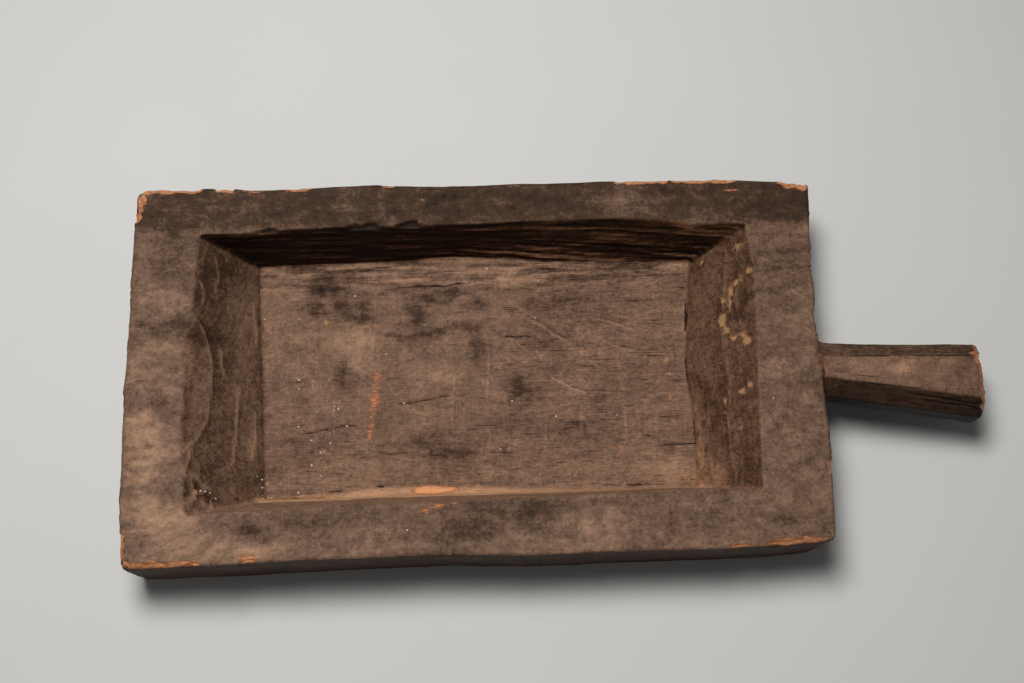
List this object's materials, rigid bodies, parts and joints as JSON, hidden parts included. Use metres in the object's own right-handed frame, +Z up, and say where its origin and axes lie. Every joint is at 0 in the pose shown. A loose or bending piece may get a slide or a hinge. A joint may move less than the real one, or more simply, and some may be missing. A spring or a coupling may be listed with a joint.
{
  "type": "feed scoop",
  "caption": "Hewn wooden feed scoop: a thick-walled rectangular tray with a shallow tapered hollow and a short faceted handle at one end.",
  "frame": {"origin": "centre of the tray's underside, on the surface that it rests on", "axes": "+X along the length towards the handle, +Y towards the side with the thinner rim, +Z up out of the hollow"},
  "size_m": [0.572, 0.254, 0.072],
  "materials": {
    "aged_wood": "dry, hand-worn, unvarnished"
  },
  "bodies": {
    "root": {"tray": "aged_wood", "handle": "aged_wood"}
  },
  "joints": []
}
